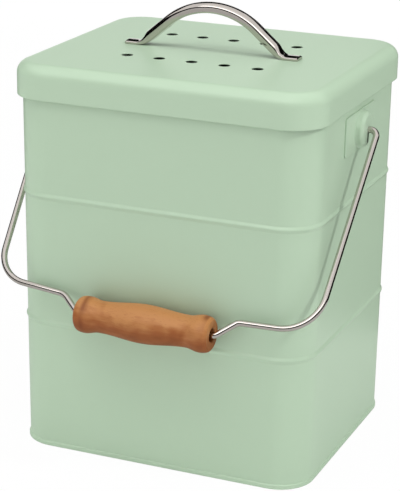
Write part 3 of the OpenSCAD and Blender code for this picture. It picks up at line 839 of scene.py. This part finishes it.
rim = (list(range(row)) + [cells + j * row for j in range(1, row)]
       + [cells * row + i for i in range(cells - 1, -1, -1)]
       + [j * row for j in range(cells - 1, 0, -1)])
for a, b in zip(rim, rim[1:] + rim[:1]):
    pad_faces.append((a, b, b + row * row, a + row * row))
pad = make_piece("charcoal_pad", (pad_points, pad_faces), charcoal_felt("charcoal felt"), "lid", 70)
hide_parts("filter_pad")


# ---- Liner bucket ---------------------------------------------------------------------------
# An injection-moulded polypropylene bucket that hangs by its flange on the tin's rim and lifts
# out for emptying. It has a rounded floor, a lug on each side for its own wire handle, and two
# small ledges at the front where that handle lies when it is down.

LOW_Z, FLANGE_Z, LINER_T = 8.0, 244.35, 1.6
TOP_R, LINER_TAPER = 21.3, 5.5
HANDLE_Z = 236.0                        # the wire handle's pivots
LINER_WIRE_R = 1.5


def liner_r(z):
    """Radius of the bucket's outer face round a corner's centre."""
    return TOP_R - LINER_TAPER * (FLANGE_Z - z) / (FLANGE_Z - LOW_Z)


liner_section = (
    [(liner_r(LOW_Z) - 6, LOW_Z), (liner_r(LOW_Z) - 3, LOW_Z + 0.02)]
    + arc(liner_r(LOW_Z) - 2.2, LOW_Z + 2.2, 2.2, -80, 0, 6)
    + [(liner_r(z), z) for z in (12, 60, 120, 180, 236)]
    + arc(TOP_R + 0.8, FLANGE_Z - 0.8, 0.8, 180, 90, 4)
    + arc(CORNER_R, FLANGE_Z + 0.6, 0.6, -90, 0, 4)
    + arc(CORNER_R, FLANGE_Z + 0.9, 0.6, 0, 90, 4)
    + arc(TOP_R - LINER_T + 0.9, FLANGE_Z + 0.6, 0.9, 90, 180, 5)
    + [(liner_r(z) - LINER_T, z) for z in (236, 180, 120, 60, 16)]
    + arc(liner_r(LOW_Z) - 6.6, 15.0, 5.0, 0, -90, 8) + [(liner_r(LOW_Z) - 9, 10.0)])
liner = sweep_round(CORNER_X, CORNER_Y, liner_section, closed=False)
n = len(liner[0]) // len(liner_section)
liner_faces = liner[1] + [tuple(reversed(range(n))),
                          tuple(range(len(liner[0]) - n, len(liner[0])))]
lug_x = CORNER_X + liner_r(HANDLE_Z) - LINER_T
lug_section = [(1.57, 0.35), (1.85, 0.0), (4.9, 0.0)] + arc(4.9, 0.6, 0.6, -90, 0, 4)
lug_section += [(5.5, 3.2), (5.5, 3.8), (1.57, 3.8)]
bucket_parts = [(liner[0], liner_faces)]
for s in (-1, 1):
    place = Matrix.Translation((s * (lug_x - 3), 0, HANDLE_Z)) @ Matrix.Rotation(s * pi / 2, 4, "Y")
    bucket_parts.append(moved(lathe(lug_section, 40, closed=True), place))
LEDGE_X, LEDGE_W, LEDGE_D, LEDGE_H, LEDGE_R = 60, 8.0, 4.4, 3.0, 0.8
ledge_top = HANDLE_Z - LINER_WIRE_R - 0.05
ledge_back = -CORNER_Y - liner_r(HANDLE_Z) + LINER_T / 2
for x in (-LEDGE_X, LEDGE_X):
    outline, inset = (loop_round(LEDGE_W / 2 - LEDGE_R, LEDGE_D / 2 - LEDGE_R, r, 4)
                      for r in (LEDGE_R, LEDGE_R - 0.35))
    rings = [(inset, ledge_top), (outline, ledge_top - 0.35),
             (outline, ledge_top - LEDGE_H + 0.4), (inset, ledge_top - LEDGE_H)]
    points = [(x + px, ledge_back + LEDGE_D / 2 + py, z) for ring, z in rings for px, py in ring]
    m = len(outline)
    faces = [(j * m + (i + 1) % m, j * m + i, (j + 1) * m + i, (j + 1) * m + (i + 1) % m)
             for j in range(3) for i in range(m)]
    faces += [tuple(range(m)), tuple(reversed(range(3 * m, 4 * m)))]
    bucket_parts.append((points, faces))
bucket = make_piece("liner_bucket", join_shapes(*bucket_parts), white_pp, "bucket")
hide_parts("inner_bucket")

pin = lug_x + LINER_T - 0.5
arm = lug_x - 3 - LINER_WIRE_R - 1.4
liner_half = [(pin, 0.0), (arm, 0.0), (arm, -75.0)]
liner_path = bend_path(liner_half + [(-x, v) for x, v in liner_half[::-1]],
                       [0, 2.6, 16, 16, 2.6, 0])
pin_ends = [moved(lathe([(0.02, 0.0), (1.2, 0.0), (1.5, -0.3)], 24),
                  Matrix.Translation((s * pin, 0, 0)) @ Matrix.Rotation(s * pi / 2, 4, "Y"))
            for s in (-1, 1)]
handle_shape = join_shapes(tube(liner_path, LINER_WIRE_R), *pin_ends)
bucket_bail = make_piece("bucket_bent_handle",
                         moved(handle_shape, Matrix.Translation((0, 0, HANDLE_Z))),
                         zinc, "bucket_bail", 50)
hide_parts("bucket_handle")


# ---- Studio ---------------------------------------------------------------------------------
# A matt white floor, an even white room, and soft lamps above, in front, behind and at both
# sides. Metal mirrors only one of the lamps. It mirrors a ring of black cards, two more on the
# floor and two lit ones, which nothing else sees: they give it its dark and bright stripes.


def stage_card(name, centre, size, facing, finish):
    """A flat rectangle in metres that isn't part of the object."""
    mesh = bpy.data.meshes.new(name)
    x, y = size[0] / 2, size[1] / 2
    mesh.from_pydata([(-x, -y, 0), (x, -y, 0), (x, y, 0), (-x, y, 0)], [], [(0, 1, 2, 3)])
    mesh.materials.append(finish)
    card = bpy.data.objects.new(name, mesh)
    bpy.context.scene.collection.objects.link(card)
    card.location = centre
    card.rotation_mode = "QUATERNION"
    card.rotation_quaternion = Vector(facing).to_track_quat("Z", "Y")
    return card


def seen_directly(tree):
    """1 for light that the camera, a mirror or a clear part sees, 0 for light on a matt face."""
    seen = add(tree, "LightPath").outputs
    mirror = add(tree, "Math", {0: seen["Is Camera Ray"], 1: seen["Is Glossy Ray"]},
                 operation="MAXIMUM")
    return add(tree, "Math", {0: mirror.outputs[0], 1: seen["Is Transmission Ray"]},
               operation="MAXIMUM").outputs[0]


def matt_card(name, colour):
    """Card with no sheen at all, such as velvet or matt paper."""
    finish, tree, place = new_finish(name)
    add(tree, "OutputMaterial",
        {"Surface": add(tree, "BsdfDiffuse", {"Color": srgb(colour)}).outputs[0]})
    return finish


def lit_card(name, strength):
    """Thin white paper with an even light behind it."""
    finish, tree, place = new_finish(name)
    add(tree, "OutputMaterial",
        {"Surface": add(tree, "Emission", {"Strength": strength}).outputs[0]})
    return finish


floor_finish, tree, place = new_finish("matt white floor")
paper = add(tree, "BsdfDiffuse", {"Color": srgb("#F2F2F2")})
glow = add(tree, "Emission", {"Color": (1, 1, 1, 1), "Strength": 1.0})
lit = add(tree, "Math", {0: seen_directly(tree), 1: 0.96}, operation="MULTIPLY")
mix = add(tree, "MixShader", {0: lit.outputs[0], 1: paper.outputs[0], 2: glow.outputs[0]})
add(tree, "OutputMaterial", {"Surface": mix.outputs[0]})
stage_card("floor", (0, 0, 0), (12, 12), (0, 0, 1), floor_finish)

dark = matt_card("black velvet card", "#101010")
grey = matt_card("grey card", "#C8C8C8")
cards = [stage_card("card_floor_back", (0, 1.5, 0.0010), (5, 2.6), (0, 0, 1), dark),
         stage_card("card_floor_front", (0, -1.2, 0.0005), (5, 2.8), (0, 0, 1), grey)]
reach = 2.2                             # radius of the ring of cards, in metres
# Each card's azimuth, lower and upper edges and width are in degrees, seen from the object.
for name, azimuth, low, high, width in (
        ("right", 10, 0, 17, 60), ("back_right", 58, 0, 46, 50), ("back", 112, 14, 52, 56),
        ("back_left", 158, 0, 40, 40), ("left", 200, 0, 28, 45), ("front_left", 245, 0, 24, 46),
        ("front", 292, 0, 24, 50), ("front_right", 332, 0, 22, 40),
        ("back_low", 90, 0, 16, 28)):
    a = radians(azimuth)
    z0 = reach * math.tan(radians(low)) + 0.2 if low else 0
    z1 = reach * math.tan(radians(high)) + 0.2
    cards.append(stage_card("card_" + name, (reach * cos(a), reach * sin(a), (z0 + z1) / 2),
                            (2 * reach * math.tan(radians(width / 2)), z1 - z0),
                            (-cos(a), -sin(a), 0), dark))
OVERHEAD, OVERHEAD_SIZE = (-0.1, -0.42, 1.4), (1.1, 0.7)
# The first lit card is the overhead lamp as metal sees it. The second one, high above the
# camera's left, lays the pale sheen on the lid's rounded front edge and on the bow's crown.
for name, centre, size, strength in (("top", OVERHEAD, OVERHEAD_SIZE, 1.2),
                                     ("sheen", (-0.23, -1.67, 1.61), (1.9, 0.8), 3)):
    cards.append(stage_card("card_" + name, centre, size, Vector((0, 0, 0.2)) - Vector(centre),
                            lit_card("lit paper " + name, strength)))
for card in cards:
    card.visible_camera = False
    card.visible_diffuse = False
    card.visible_transmission = False
    card.visible_shadow = False

world = bpy.data.worlds.new("white room")
bpy.context.scene.world = world
world.use_nodes = True
tree = world.node_tree
tree.nodes.clear()
level = add(tree, "MapRange", {"Value": seen_directly(tree), "To Min": 0.57, "To Max": 1.0})
room = add(tree, "Background", {"Color": (1, 1, 1, 1), "Strength": level.outputs["Result"]})
add(tree, "OutputWorld", {"Surface": room.outputs[0]})


def soft_light(name, place, aim, size, watts, in_metal=True):
    """A rectangular lamp, placed and sized in metres, that metal mirrors or not."""
    lamp = bpy.data.lights.new(name, "AREA")
    lamp.shape = "RECTANGLE"
    lamp.size, lamp.size_y = size
    lamp.energy = watts
    thing = bpy.data.objects.new(name, lamp)
    bpy.context.scene.collection.objects.link(thing)
    thing.location = place
    thing.rotation_mode = "QUATERNION"
    thing.rotation_quaternion = (Vector(place) - Vector(aim)).to_track_quat("Z", "Y")
    thing.visible_glossy = in_metal


soft_light("overhead", OVERHEAD, (0, 0, 0.2), OVERHEAD_SIZE, 7.1, False)
soft_light("front_left", (-0.9, -1.6, 0.3), (0, 0, 0.12), (1.0, 0.8), 5.7, False)
soft_light("front_right", (0.7, -1.1, 1.4), (0, 0, 0.15), (0.52, 0.39), 1.0)
soft_light("right", (1.0, -0.05, 0.95), (0.1, 0, 0.15), (0.12, 0.12), 5.6, False)
soft_light("back", (-0.4, 1.7, 0.4), (0, 0, 0.12), (1.4, 0.8), 8, False)
soft_light("left", (-1.7, 0.3, 0.4), (0, 0, 0.12), (1.0, 0.8), 3.8, False)

# The camera stands to the right of the front and looks down a little, through a long lens.
CAMERA_AT = (0.4296, -1.0368, 0.4971)   # in metres
YAW, PITCH_DOWN, ROLL = 0.398, 0.323, 0.015
FOCAL_PX, PICTURE_H = 1824.251, 491
ahead = Vector((-sin(YAW) * cos(PITCH_DOWN), cos(YAW) * cos(PITCH_DOWN), -sin(PITCH_DOWN)))
level_right = Vector((cos(YAW), sin(YAW), 0))
level_up = level_right.cross(ahead)
right = level_right * cos(ROLL) + level_up * sin(ROLL)
up = level_up * cos(ROLL) - level_right * sin(ROLL)
camera_lens = bpy.data.cameras.new("camera")
camera_lens.sensor_fit = "VERTICAL"
camera_lens.sensor_height = 24
camera_lens.lens = FOCAL_PX * 24 / PICTURE_H
camera_lens.clip_end = 30
camera = bpy.data.objects.new("camera", camera_lens)
bpy.context.scene.collection.objects.link(camera)
turn = Matrix((right, up, -ahead)).transposed().to_4x4()
camera.matrix_world = Matrix.Translation(CAMERA_AT) @ turn
bpy.context.scene.camera = camera
bpy.context.scene.view_settings.view_transform = "Standard"
